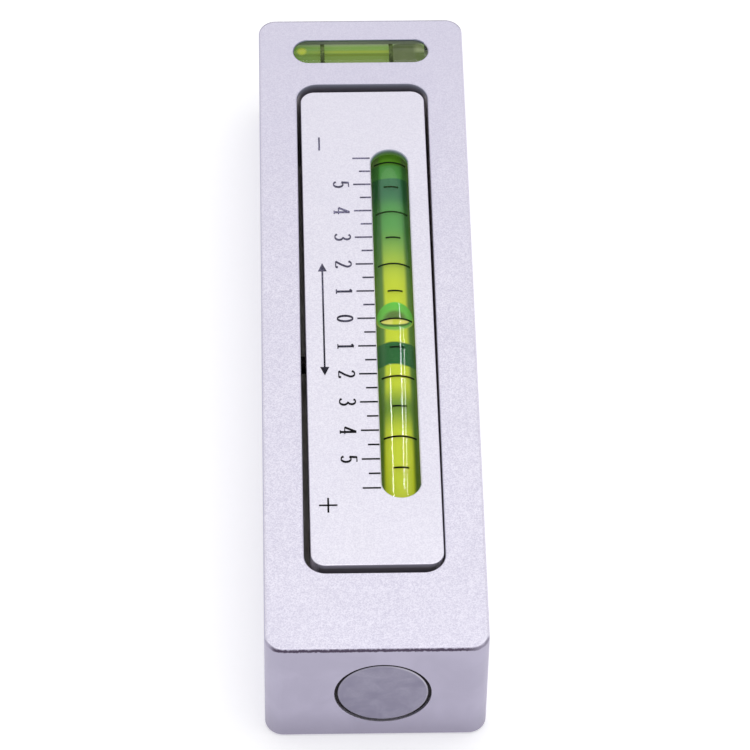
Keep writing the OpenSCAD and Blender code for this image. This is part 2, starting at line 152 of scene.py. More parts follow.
def within(tree, value, middle, reach, softness=0.02):
    """1 where a value is no further than reach from the middle, and 0 elsewhere."""
    away = maths(tree, "ABSOLUTE", maths(tree, "SUBTRACT", value, middle))
    return ease(tree, away, reach + softness, reach)


def overlap(tree, *masks):
    """1 only where every mask is 1. A plain number as the last one weakens the result."""
    product, *others = masks
    for mask in others:
        product = maths(tree, "MULTIPLY", product, mask)
    return product


def how_far(tree, first, second):
    """The distance that two steps at right angles add up to."""
    squares = [maths(tree, "MULTIPLY", step, step) for step in (first, second)]
    return maths(tree, "SQRT", maths(tree, "ADD", *squares))


def colour_ramp(tree, value, colours, low, high):
    """Blends from colour to colour, each at its own place on a span from low to high."""
    share = maths(tree, "DIVIDE", maths(tree, "SUBTRACT", value, low), high - low, clamp=True)
    placed = node(tree, "ValToRGB", {"Fac": share})
    marks = placed.color_ramp.elements
    for number, (place, colour) in enumerate(sorted(colours.items())):
        position = (place - low) / (high - low)
        mark = marks[number] if number < 2 else marks.new(position)
        mark.position = position
        mark.color = (*screen_colour(colour), 1)
    return placed.outputs["Color"]


print("masks measure in steps of", MM, "m")

# %% [markdown]
# ## Materials and pieces
# Every material ends in one Principled shader. Plain values are written straight on it by name, and
# what changes over the surface is wired to it. A piece that keeps its made shape then takes the
# material in its own slots, so nothing else about it changes.

# %% Material helpers
def new_material(name, **sockets):
    """A material with its Principled shader, whose plain values are set by name."""
    material = bpy.data.materials.new(name)
    material.use_nodes = True
    shader = material.node_tree.nodes["Principled BSDF"]
    for socket, value in sockets.items():
        feed(material.node_tree, shader.inputs[socket.replace("_", " ")], value)
    return material, material.node_tree, shader


def finish_surface(tree, shader, colour, rough, height, strength, depth):
    """Gives a shader its colour, its roughness and a relief, whose depth is in millimetres."""
    bump = node(tree, "Bump", {"Height": height, "Strength": strength, "Distance": depth * MM})
    feed(tree, shader.inputs["Base Color"], colour)
    feed(tree, shader.inputs["Roughness"], rough)
    feed(tree, shader.inputs["Normal"], bump.outputs[0])


def middle_of(name):
    """The middle of a piece's box, in millimetres."""
    low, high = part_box(name)
    return (low + high) / 2 / MM


def dress(material, *names):
    """Puts a material on pieces that keep the shape they were made with."""
    for name in names:
        for material_slot in frame["nodes"][name].material_slots:
            material_slot.material = material
    print(material.name, "on", ", ".join(names))


print("middle of the bar", [round(part, 2) for part in middle_of("body")], "mm")

# %% [markdown]
# ## Effects that several finishes share
# Blasting leaves a fine grain on both the bar and the carrier, and most surfaces that are handled have
# faint smudges. Each of these is a node group with its own inputs, built once and placed in every
# material that needs it. A group gives out only masks and values, and the shader stays outside it.

# %% Shader groups
def new_group(name, inputs, outputs):
    group = bpy.data.node_groups.new(name, "ShaderNodeTree")
    for label, kind in inputs.items():
        group.interface.new_socket(label, in_out="INPUT", socket_type="NodeSocket" + kind)
    for label, kind in outputs.items():
        group.interface.new_socket(label, in_out="OUTPUT", socket_type="NodeSocket" + kind)
    return group, group.nodes.new("NodeGroupInput").outputs, group.nodes.new("NodeGroupOutput").inputs


def use_group(tree, group, **values):
    placed = tree.nodes.new("ShaderNodeGroup")
    placed.node_tree = group
    for name, value in values.items():
        feed(tree, placed.inputs[name], value)
    return placed.outputs


def sized_place(group, given):
    """The place divided by the size, so that a larger size draws a larger pattern."""
    scale = maths(group, "DIVIDE", 1, given["Size"])
    return node(group, "VectorMath", {0: given["Place"], 3: scale}, operation="SCALE").outputs[0]


def build_blast_grain():
    """Grain of two sizes: pits a few tenths of a millimetre wide, and finer glints between them."""
    group, given, result = new_group("blast_grain", {"Place": "Vector", "Size": "Float"},
                                     {"Tone": "Float", "Glint": "Float", "Height": "Float"})
    where = sized_place(group, given)
    pits = node(group, "TexNoise", {"Vector": where, "Scale": 1, "Detail": 2}).outputs["Fac"]
    glints = node(group, "TexNoise", {"Vector": where, "Scale": 2.3, "Detail": 1}).outputs["Fac"]
    feed(group, result["Tone"], ease(group, pits, 0.3, 0.7))
    feed(group, result["Glint"], ease(group, glints, 0.62, 0.78))
    feed(group, result["Height"], pits)
    return group


def build_smudges():
    """Broad soft clouds, for handling marks and slight unevenness of a coating."""
    group, given, result = new_group("smudges", {"Place": "Vector", "Size": "Float"},
                                     {"Cloud": "Float"})
    cloud = node(group, "TexNoise", {"Vector": sized_place(group, given), "Scale": 1, "Detail": 3,
                                     "Distortion": 0.6})
    feed(group, result["Cloud"], ease(group, cloud.outputs["Fac"], 0.3, 0.7))
    return group


blast_grain = build_blast_grain()
smudges = build_smudges()
print("groups:", ", ".join(group.name for group in bpy.data.node_groups))

# %% [markdown]
# ## The blasted skin
# The scale face and the sides are blasted, which gives a pale satin with a fine grain. A plain noise
# for the colour alone would look like dust, so the same grain drives the tone, the bright glints and the
# relief together; the glints are painted highlights. Towards the far end the skin looks flatter, so its
# contrast falls off that way, and painted shade makes it greyer there. The metal share stays under 1,
# because a blasted skin scatters some light as paint does.

# %% Blasted skin
body_low, body_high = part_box("body")
carrier_low, carrier_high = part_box("carrier")
BAR_HALF_L = (body_high.y - body_low.y) / 2 / MM
BAR_H = body_high.z / MM
CARRIER_HALF_L = (carrier_high.y - carrier_low.y) / 2 / MM
FACE_H = carrier_high.z / MM
METAL_SHARE = 0.82
RELIEF = (0.35, 0.05)


def blasted_skin(tree, here, along, strength, far_shade):
    """The pale colour of the blasted skin, with painted shade greying it towards the far end, and the height
    of its grain.
    """
    fine = use_group(tree, blast_grain, Place=here, Size=0.19)
    coarse = use_group(tree, blast_grain, Place=here, Size=0.6)
    cloud = use_group(tree, smudges, Place=here, Size=14.0)["Cloud"]
    far = ease(tree, along, 0, BAR_HALF_L)
    contrast = maths(tree, "MULTIPLY", maths(tree, "MULTIPLY_ADD", far, -0.45, 1), strength)
    tone = maths(tree, "MULTIPLY_ADD", fine["Tone"], 0.8, maths(tree, "MULTIPLY", coarse["Tone"], 0.2))
    tone = maths(tree, "MULTIPLY_ADD", maths(tree, "SUBTRACT", tone, 0.5), contrast, 0.5)
    pale = paint_mix(tree, tone, "#CBC7D9", "#EBE8F4")
    # painted highlights: near-white glints from the fine grain
    pale = paint_mix(tree, overlap(tree, fine["Glint"], contrast, 0.5), pale, "#FBF9FF")
    pale = paint_mix(tree, overlap(tree, cloud, 0.12), pale, "#C9C6DC")
    # painted shade: the skin turns greyer towards the far end
    pale = paint_mix(tree, overlap(tree, far, far_shade), pale, "#BBB6D2")
    return pale, fine["Height"]


print("bar", round(2 * BAR_HALF_L, 1), "mm long and", round(BAR_H, 1), "mm high")

# %% [markdown]
# ## The bar's ends
# The ends were milled bare after the blasting, so they are smoother and darker, and along the upper
# edge the cut left a ragged dark line. The bar is one piece and has one material, so its ends are told
# apart by the way they face. A stripe of one width would look drawn. So the line follows a noise, which
# lets it wander a few tenths of a millimetre below the edge and break up as a real burr does.

# %% Milled ends
UPRIGHT_EDGE_R = 2.5
END_START = BAR_HALF_L - UPRIGHT_EDGE_R


def find_ends(tree, facing_along, from_middle):
    """1 on the two end faces, which face along the bar and lie past its rounded upright edges."""
    facing_out = ease(tree, maths(tree, "ABSOLUTE", facing_along), 0.05, 0.25)
    return overlap(tree, facing_out, ease(tree, from_middle, END_START - 0.1, END_START + 0.1))


def mill_ends(tree, colour, on_end, below, up_axis, cloud):
    """Bare metal on the ends, with painted shade darkening it towards the back, and the mask of where it is.
    """
    colour = paint_mix(tree, overlap(tree, on_end, 0.6), colour, "#8A869A")
    milled = overlap(tree, on_end, ease(tree, below, 0.0, 0.12))
    bare = paint_mix(tree, cloud, "#AEA9BD", "#B7B2C6")
    # painted shade: the ends darken towards the back
    bare = paint_mix(tree, overlap(tree, ease(tree, up_axis, 7, 0), 0.5), bare, "#938EA0")
    return paint_mix(tree, milled, colour, bare), milled


def draw_burr(tree, colour, on_end, here, across, below):
    """The ragged dark line, which fades out before the left corner and weakens at the right one."""
    ragged = node(tree, "TexNoise", {"Vector": here, "Scale": 1.9, "Detail": 5, "Roughness": 0.75})
    from_line = maths(tree, "MULTIPLY_ADD", ragged.outputs["Fac"], 0.6, maths(tree, "SUBTRACT", below, 0.5))
    line = ease(tree, maths(tree, "ABSOLUTE", from_line), 0.26, 0.08)
    under_edge = ease(tree, below, 0.0, 0.06)
    left_corner = ease(tree, across, -14.6, -13.4)
    right_corner = maths(tree, "MULTIPLY_ADD", ease(tree, across, 14.2, 11.5), 0.6, 0.4)
    burr = overlap(tree, line, on_end, under_edge, left_corner, right_corner, 0.92)
    return paint_mix(tree, burr, colour, "#3E3046")


print("end faces start", round(END_START, 1), "mm from the middle")

# %% [markdown]
# ## The bar's inner walls
# The walls of the narrow gap round the carrier are painted dull, and painted shade makes them darker a
# little way below the edge. How far a point lies below the face tells where that starts. Along the sides
# the gap is too narrow for light, so the walls there are painted pale and it still looks nearly black. The
# window over the cross vial is cut through a thin lip, whose edge is painted grey. Neither mask reaches
# the back, where it would show up as a dark patch.

# %% Pocket and window walls
END_GAP = 1.45
POCKET_HALF_L = CARRIER_HALF_L + END_GAP
POCKET_HALF_W = 9.6
CROSS_WINDOW_HALF_L = 9.95
CROSS_WINDOW_HALF_W = 2.3


def shade_pocket_walls(tree, colour, across, along, below, above_back):
    """Painted shade on the walls in the pocket, and the mask of where they are."""
    in_pocket = overlap(tree, within(tree, across, 0, POCKET_HALF_W), within(tree, along, 0, POCKET_HALF_L),
                        ease(tree, below, 0.08, 0.14), above_back)
    # painted shade: the walls darken with depth; along the sides they stay pale, as the narrow gap shades
    # them
    wall = colour_ramp(tree, below, {0.1: "#A4A6BA", 0.6: "#868898", 1.2: "#76727E", 1.9: "#605C68"}, 0, 2)
    from_middle = maths(tree, "ABSOLUTE", along)
    beside = ease(tree, from_middle, POCKET_HALF_L - 0.8, POCKET_HALF_L - 2.4)
    wall = paint_mix(tree, overlap(tree, beside, ease(tree, below, 0.3, 1)), wall, "#E4DEE0")
    return paint_mix(tree, in_pocket, colour, wall), in_pocket


def dull_window(tree, colour, across, along, below, above_back):
    """Grey metal on the edge of the lip, round the window over the cross vial."""
    middle = middle_of("cross_vial")
    in_window = overlap(tree, within(tree, across, middle.x, CROSS_WINDOW_HALF_L),
                        within(tree, along, middle.y, CROSS_WINDOW_HALF_W),
                        ease(tree, below, 0.03, 0.07), above_back)
    return paint_mix(tree, in_window, colour, "#83879C")


print("pocket walls within", round(POCKET_HALF_L, 2), "mm of the middle")

# %% [markdown]
# ## The bar's metal
# The bar's one material puts these zones together, from the skin outwards. Its left side is painted a
# little darker than the rest, as shade. The walls of the pocket aren't metallic, and are painted dark as
# shade.

# %% Bar's metal
def build_bar_metal():
    material, tree, shader = new_material("bar_metal")
    here, across, along, up_axis = place_of(tree)
    below = maths(tree, "SUBTRACT", BAR_H, up_axis)
    above_back = ease(tree, up_axis, 0.1, 0.2)
    facing = node(tree, "SeparateXYZ", {0: node(tree, "TexCoord").outputs["Normal"]}).outputs
    on_end = find_ends(tree, facing[1], maths(tree, "ABSOLUTE", along))
    cloud = use_group(tree, smudges, Place=here, Size=6.0)["Cloud"]

    colour, grain_height = blasted_skin(tree, here, along, 0.95, 0.2)
    # painted shade: the left side is darker
    left_side_shade = overlap(tree, ease(tree, facing[0], -0.2, -0.8), ease(tree, below, 0.02, 0.2), 0.5)
    colour = paint_mix(tree, left_side_shade, colour, "#8E8AA4")
    colour, milled = mill_ends(tree, colour, on_end, below, up_axis, cloud)
    colour = draw_burr(tree, colour, on_end, here, across, below)
    colour, in_pocket = shade_pocket_walls(tree, colour, across, along, below, above_back)
    colour = dull_window(tree, colour, across, along, below, above_back)

    bare_metal = maths(tree, "MULTIPLY", maths(tree, "SUBTRACT", 1, in_pocket), METAL_SHARE)
    feed(tree, shader.inputs["Metallic"], bare_metal)
    rough = maths(tree, "MULTIPLY_ADD", milled, -0.04, maths(tree, "MULTIPLY_ADD", cloud, 0.06, 0.42))
    height = maths(tree, "MULTIPLY", grain_height, maths(tree, "SUBTRACT", 1.15, milled))
    finish_surface(tree, shader, colour, rough, height, *RELIEF)
    return material


dress(build_bar_metal(), "body")

# %% [markdown]
# ## The carrier's metal
# The carrier has the same skin, a little lighter and more even. Its own sides get the same painted shade
# as the pocket's walls. The round ends of the vial's window have a green cast, because the bright liquid
# lights them from below. The light could find its own way there, but only with many more samples, so the
# cast is painted on the walls by how deep they lie.

# %% Carrier's metal
SIDE_REACH = 8.8
END_REACH = CARRIER_HALF_L - 0.3
WINDOW_REACH = 29.3
WINDOW_HALF_W = 3


def shade_sides(tree, colour, across, from_middle, below, under):
    """Painted shade on the carrier's own sides and ends, and the mask of where those are."""
    from_side = maths(tree, "ABSOLUTE", across)
    outside = maths(tree, "MAXIMUM", ease(tree, from_side, SIDE_REACH, SIDE_REACH + 0.1),
                    ease(tree, from_middle, END_REACH, END_REACH + 0.1))
    # painted shade: the sides darken with depth below the face
    wall = colour_ramp(tree, below, {0.3: "#A8A4B6", 0.65: "#9E9AA6", 0.85: "#7C7680"}, 0, 2)
    beside = ease(tree, from_middle, END_REACH - 1, END_REACH - 3)
    wall = paint_mix(tree, overlap(tree, beside, ease(tree, below, 0.3, 1)), wall, "#DCD6D8")
    return paint_mix(tree, overlap(tree, outside, under), colour, wall), outside


def light_window_ends(tree, colour, across, along, below, under):
    """A green cast on the window's round ends, and the mask of where those are."""
    from_middle = maths(tree, "ABSOLUTE", along)
    at_end = overlap(tree, ease(tree, from_middle, WINDOW_REACH, WINDOW_REACH + 0.2),
                     within(tree, along, 0, WINDOW_REACH + 3, 0.2), under,
                     within(tree, across, middle_of("main_vial").x, WINDOW_HALF_W))
    glow = colour_ramp(tree, below, {0.15: "#AEB4C4", 0.35: "#95A5A7", 0.6: "#6A8B68", 1.0: "#74A44C"}, 0, 2)
    return paint_mix(tree, at_end, colour, glow), at_end


def build_carrier_metal():
    material, tree, shader = new_material("carrier_metal")
    here, across, along, up_axis = place_of(tree)
    below = maths(tree, "SUBTRACT", FACE_H, up_axis)
    under = ease(tree, below, 0.03, 0.08)
    from_middle = maths(tree, "ABSOLUTE", along)
    cloud = use_group(tree, smudges, Place=here, Size=6.0)["Cloud"]

    colour, grain_height = blasted_skin(tree, here, along, 0.75, 0.02)
    colour = paint_mix(tree, 0.18, colour, "#FFFFFF")
    colour, outside = shade_sides(tree, colour, across, from_middle, below, under)
    colour, window_end = light_window_ends(tree, colour, across, along, below, under)

    painted_walls = overlap(tree, maths(tree, "MAXIMUM", outside, window_end), under)
    bare_metal = maths(tree, "MULTIPLY", maths(tree, "SUBTRACT", 1, painted_walls), METAL_SHARE)
    feed(tree, shader.inputs["Metallic"], bare_metal)
    rough = maths(tree, "MULTIPLY_ADD", cloud, 0.06, 0.42)
    finish_surface(tree, shader, colour, rough, grain_height, *RELIEF)
    return material


dress(build_carrier_metal(), "carrier")

# %% [markdown]
# ## Turned steel
# The pin and the set screws are turned, so their ends carry faint rings about their own axes. A wave
# texture would have to be turned and moved to each axis, so the rings are a sine of the distance from
# it. Where the pin crosses the narrow gap beside the carrier, it is painted nearly black as shade.

# %% Turned steel
X_AXIS = 0
Z_AXIS = 2
GAP_SHADE_FROM = 8.7
GAP_SHADE_TO = 9.7


def build_steel(name, dark, light, centre, axis, rough, shaded_in_gap=False):
    """Steel with rings about the line through centre along an axis, and painted shade on it where it crosses
    the gap.
    """
    material, tree, shader = new_material(name, Metallic=1.0)
    here, *parts = place_of(tree)
    sides = [maths(tree, "SUBTRACT", parts[index], centre[index]) for index in range(3) if index != axis]
    rings = maths(tree, "SINE", maths(tree, "MULTIPLY", how_far(tree, *sides), 52))
    cloud = use_group(tree, smudges, Place=here, Size=1.2)["Cloud"]
    tone = maths(tree, "MULTIPLY_ADD", rings, 0.12, maths(tree, "MULTIPLY_ADD", cloud, 0.5, 0.2))
    colour = paint_mix(tree, tone, dark, light)
    if shaded_in_gap:
        reach = maths(tree, "ABSOLUTE", parts[axis])
        # painted shade: nearly black where the pin crosses the gap
        gap_shade = overlap(tree, ease(tree, reach, GAP_SHADE_FROM - 0.1, GAP_SHADE_FROM),
                      ease(tree, reach, GAP_SHADE_TO + 0.1, GAP_SHADE_TO))
        colour = paint_mix(tree, gap_shade, colour, "#1A1718")
    rough = maths(tree, "MULTIPLY_ADD", cloud, 0.15, rough)
    finish_surface(tree, shader, colour, rough, rings, 0.2, 0.01)
    return material


pin_metal = build_steel("pin_metal", "#8C8C92", "#C9C9CE", middle_of("pivot_pin"), X_AXIS, 0.24, shaded_in_gap=True)
dress(pin_metal, "pivot_pin")

# %% [markdown]
# ## Dull nickel
# The magnet is plated with nickel that has gone dull and mottled. Its edge is rounded and catches the
# light on the right. Past the edge it is painted dark, partly for the glue that crept a little way over it
# and partly as painted shade in the groove round it. The mesh has no such round, so the bright rim and the
# dark edge are bands of distance from the magnet's middle.

# %% Nickel
PLATED_R = 6.0
GROOVE_SHADE_AND_GLUE = "#171216"


def build_nickel():
    material, tree, shader = new_material("dull_nickel", Metallic=0.7)
    here, across, along, up_axis = place_of(tree)
    centre = middle_of("magnet")
    side = maths(tree, "SUBTRACT", across, centre.x)
    radius = how_far(tree, side, maths(tree, "SUBTRACT", up_axis, centre.z))
    cloud = use_group(tree, smudges, Place=here, Size=3.0)["Cloud"]
    specks = use_group(tree, blast_grain, Place=here, Size=0.3)
    colour = paint_mix(tree, cloud, "#89859B", "#9F9BAF")
    colour = paint_mix(tree, overlap(tree, specks["Tone"], 0.25), colour, "#8B8899")
    rim = ease(tree, radius, PLATED_R - 0.15, PLATED_R - 0.02)
    lit = maths(tree, "MULTIPLY_ADD", ease(tree, side, -1, 5), 0.6, 0.15)
    colour = paint_mix(tree, overlap(tree, rim, lit), colour, "#D5D2DF")
    # painted shade of the groove, with glue: dark past the edge and behind the face
    colour = paint_mix(tree, ease(tree, radius, PLATED_R + 0.03, PLATED_R + 0.1), colour, GROOVE_SHADE_AND_GLUE)
    behind_face = maths(tree, "SUBTRACT", along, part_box("magnet")[0].y / MM)
    colour = paint_mix(tree, ease(tree, behind_face, 0.2, 0.28), colour, GROOVE_SHADE_AND_GLUE)
    rough = maths(tree, "MULTIPLY_ADD", cloud, 0.12, 0.42)
    finish_surface(tree, shader, colour, rough, specks["Height"], 0.15, 0.02)
    return material


dress(build_nickel(), "magnet")

# %% [markdown]
# ## Glue, resin and stoppers
# Dark glue fills the gap round the magnet, white resin holds the vials from behind, and an olive stopper
# closes each end of a tube. All of them were poured or moulded, so one function makes a material for
# each, with its own colours, roughness and lumps.

# %% Cast materials
def build_cast(name, dark, light, rough, size, lumps):
    """Something that was poured or moulded: a cloudy colour and a slightly uneven skin."""
    material, tree, shader = new_material(name, Specular_IOR_Level=0.25)
    cloud = use_group(tree, smudges, Place=place_of(tree)[0], Size=size)["Cloud"]
    rough = maths(tree, "MULTIPLY_ADD", cloud, 0.2, rough)
    finish_surface(tree, shader, paint_mix(tree, cloud, dark, light), rough, cloud, lumps, 0.1)
    return material


dress(build_cast("dark_glue", "#130F12", "#221B1F", 0.5, 1.1, 0.5), "magnet_glue")
dress(build_cast("white_resin", "#DAD8CE", "#EEECE4", 0.3, 4.0, 0.3),
      "cross_vial_resin", "main_vial_resin_far", "main_vial_resin_near")
dress(build_cast("olive_stopper", "#6E7A56", "#828E6A", 0.4, 2.0, 0.2),
      "main_vial_plug_far", "main_vial_plug_near", "cross_vial_plug_left", "cross_vial_plug_right")

# %% [markdown]
# ## Ink
# The scale is printed in a blue-black ink. It is paler towards the far end, where it lets the metal
# through, and near the magnet it is dense. The marks round the tubes turn paler as well, into the green
# behind them: the main vial's towards its far end, the cross vial's towards its far side. Paler ink could
# be made partly clear, but a blend towards the colour behind it looks the same and renders faster.

# %% Ink
def build_ink(name, dense, thin, fade_from, fade_to, fading):
    """Ink that turns paler from one place along the bar to another, by the two shares given in fading."""
    material, tree, shader = new_material(name, Roughness=0.6, Specular_IOR_Level=0.1)
    here, _, along, _ = place_of(tree)
    specks = use_group(tree, blast_grain, Place=here, Size=0.2)["Tone"]
    cloud = use_group(tree, smudges, Place=here, Size=2.5)["Cloud"]
    patchy = maths(tree, "MULTIPLY_ADD", maths(tree, "MULTIPLY", specks, cloud), 1.2, 0.4)
    least, most = fading
    share = maths(tree, "MULTIPLY_ADD", ease(tree, along, fade_from, fade_to), most - least, least)
    faded = maths(tree, "MULTIPLY", patchy, share, clamp=True)
    feed(tree, shader.inputs["Base Color"], paint_mix(tree, faded, dense, thin))
    return material


dress(build_ink("scale_print", "#040308", "#8A86A4", -20, 28, (0, 0.78)),
      "scale_lines", "scale_numerals", "scale_signs")
dress(build_ink("main_ring_print", "#070A06", "#2C4A20", -10, 32, (0.1, 0.7)), "main_vial_rings")
dress(build_ink("cross_ring_print", "#1E2416", "#6A7C48", 49.6, 53, (0.3, 1)), "cross_vial_rings")

# %% [markdown]
# ## Skins
# The vials' contents, and later the screws, are all skins over a row of rings. A rod is one ring swept
# along the vial, a bubble is a ring that swells and closes again, and a screw is a ring whose radius
# follows its thread. Modifiers could make the rod and the screw, but not the bubble. One function turns
# rings into a closed mesh, so each piece only has to say where its points lie.

# %% Skin helper
def skin(name, rings, place):
    """A closed skin over rings of equally many points, given in millimetres in the piece's own frame."""
    shape = bmesh.new()
    rows = [[shape.verts.new(Vector(point) * MM) for point in ring] for ring in rings]
    for row, following in zip(rows, rows[1:]):
        for index, corner in enumerate(row):
            after = (index + 1) % len(row)
            shape.faces.new((corner, row[after], following[after], following[index]))
    shape.faces.new(list(reversed(rows[0])))
    shape.faces.new(rows[-1])
    bmesh.ops.recalc_face_normals(shape, faces=shape.faces)
    for face in shape.faces:
        face.smooth = len(face.verts) == 4
    mesh = bpy.data.meshes.new(name)
    shape.to_mesh(mesh)
    shape.free()
    piece = bpy.data.objects.new(name, mesh)
    piece.matrix_world = place
    bpy.context.collection.objects.link(piece)
    print(name, len(mesh.vertices), "points")
    return piece


def finish_piece(piece, body, material, slot_name, *nodes):
    """Gives a piece its material, the body that it moves with and the pieces that it stands for."""
    piece.data.materials.append(material)
    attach(piece, body)
    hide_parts(*nodes)
    print(piece.name, "rides on body", body)

# %% [markdown]
# ## The vials' own frames
# The main vial is bent about a centre far below it, and sits a little askew in the bar. Its bubble
# turns about that same centre, so the joint that moves the bubble gives the centre and the direction
# across the vial. In the vial's own frame X runs across it, Y along it and Z up through its crest. The
# cross vial gets the same kind of frame, with its Y along the bar's X.

# %% Vial frames
TUBE_R = 3.6
UP = Vector((0, 0, 1))

bubble_hinge = next(joint for joint in frame["joints"] if joint["name"] == "main_bubble_travel")
bend_centre = Vector(bubble_hinge["pos_m"])
BEND_R = (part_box("main_vial")[1].z - bend_centre.z) / MM - TUBE_R
main_across = Vector(bubble_hinge["axis"]).normalized()
main_along = UP.cross(main_across)


def frame_at(origin, across, along):
    """The place whose X, Y and Z run across, along and above a vial."""
    turn = Matrix((across, along, across.cross(along))).transposed().to_4x4()
    return Matrix.Translation(origin) @ turn


main_place = frame_at(bend_centre + UP * BEND_R * MM, main_across, main_along)
cross_place = frame_at(middle_of("cross_vial") * MM, Vector((0, -1, 0)), Vector((1, 0, 0)))
print("bend radius", round(BEND_R, 1), "mm")

# %% [markdown]
# ## The liquids
# Real liquid touches the tube, so light bends only once, at the tube's outer face, and the liquid
# looks wider than it is. A film of air between the two would undo that. So each liquid is a rod a hair
# wider than its bore, from one stopper to the other.

# %% Rods of liquid
BORE_R = 2.8
CROSS_BORE_R = 3.2
STOPPER_L = 2.2
CROSS_STOPPER_L = 1.0
WETTING = 0.01
ROD_POINTS = 96
ROD_STEPS = 160


def on_bend(distance, across, height, bend_r=None):
    """A point in a vial's own frame, at a distance along its bend and a height above its axis."""
    if bend_r is None:
        return across, distance, height
    angle = distance / bend_r
    return across, (bend_r + height) * sin(angle), (bend_r + height) * cos(angle) - bend_r


def rod_rings(radius, half_length, bend_r=None):
    turns = [2 * pi * index / ROD_POINTS for index in range(ROD_POINTS)]
    for step in range(ROD_STEPS + 1):
        distance = half_length * (2 * step / ROD_STEPS - 1)
        yield [on_bend(distance, radius * sin(turn), radius * cos(turn), bend_r) for turn in turns]


def half_span(name, axis):
    low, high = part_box(name)
    return (high[axis] - low[axis]) / 2 / MM


main_half = BEND_R * asin(half_span("main_vial", 1) / (BEND_R + TUBE_R)) - STOPPER_L
cross_half = half_span("cross_vial", 0) - CROSS_STOPPER_L
main_rod = skin("main_liquid", rod_rings(BORE_R + WETTING, main_half, BEND_R), main_place)
cross_rod = skin("cross_liquid", rod_rings(CROSS_BORE_R + WETTING, cross_half), cross_place)

# %% [markdown]
# ## Dye of the main vial
# The dye shows yellow where light comes through the crest of the vial, green along its sides and at the
# far end, and dark where the pivot pin crosses below it. It could be a clear liquid with a colour, but
# light that bends its way into a tube and out again takes a great many samples. So the rod is opaque and
# painted by place, with a faint glow of its own for the light that passes through it. Each zone has a
# colour for the crest and one for the flanks.

# %% Main dye
MAIN_GLOW = 0.22
BEFORE_START = (-60, -59)
PAST_END = (60, 59)


def shine(tree, shader, colour, lit=None):
    """Gives a glowing piece its colour, and under outside light a darker one where lit is given."""
    feed(tree, shader.inputs["Base Color"], colour if lit is None else lit)
    feed(tree, shader.inputs["Emission Color"], colour)


def build_main_dye():
    material, tree, shader = new_material("main_dye", Roughness=0.6, Specular_IOR_Level=0.2,
                                          Emission_Strength=MAIN_GLOW)
    here, across, along, _ = place_of(tree)
    aside = maths(tree, "DIVIDE", across, BORE_R)
    ruffle = node(tree, "TexNoise", {"Vector": here, "Scale": 0.35, "Detail": 1})
    along = maths(tree, "MULTIPLY_ADD", ruffle.outputs["Fac"], 0.5, maths(tree, "ADD", along, -0.25))

    def zone(rise, fall):
        """1 between two soft edges along the vial, each given as where it starts and where it ends."""
        return overlap(tree, ease(tree, along, *rise), ease(tree, along, *fall))

    # painted light and shade: the far end and the band over the pivot pin are darker, the crest lighter than
    # the flanks
    zones = [
        (zone(BEFORE_START, (-17, -24)), "#BFCB2A", "#4C6A1C"),
        (zone((5, 19), PAST_END), "#53964A", "#3A6C30"),
        (zone((20.5, 25), (28.1, 27.8)), "#38714D", "#24522C"),
        (zone((30.4, 31.2), PAST_END), "#66A32C", "#678548"),
        (zone((-19.8, -15.2), (-11.0, -14.8)), "#6C8E26", "#54742A"),
        (zone((-7.95, -7.65), (-3.7, -3.95)), "#125C22", "#2E6332"),
    ]
    crest, flank = "#BDCB2A", "#5B8133"
    for mask, crest_here, flank_here in zones:
        crest = paint_mix(tree, mask, crest, crest_here)
        flank = paint_mix(tree, mask, flank, flank_here)

    wide = overlap(tree, ease(tree, along, 4, -32), 0.25)
    left = ease(tree, maths(tree, "ADD", aside, wide), -0.36, -0.54)
    right = ease(tree, maths(tree, "MULTIPLY_ADD", wide, -0.3, aside), 0.46, 0.66)
    colour = paint_mix(tree, maths(tree, "MAXIMUM", left, right), crest, flank)
    # painted sheen along both sides of the rod
    rim = ease(tree, maths(tree, "ABSOLUTE", aside), 0.72, 0.84)
    shine(tree, shader, paint_mix(tree, overlap(tree, rim, 0.22), colour, "#9CAC50"))
    return material


finish_piece(main_rod, "carrier", build_main_dye(), "liquid", "main_vial_liquid")

# %% [markdown]
# ## Dye of the cross vial
# This vial lies across the view, so its colours run from its far side, which is painted pale with light,
# to its near side. A bright line runs along it beside a dark one, as painted light and shade, and at its
# left end light gathers in a small yellow patch. It is painted as the main vial's dye is. Under its lip it
# gets less light from outside, so it is darker there and more of its colour is its own glow.

# %% Cross dye
CROSS_GLOW = 0.5
CROSS_SHADE = 0.4


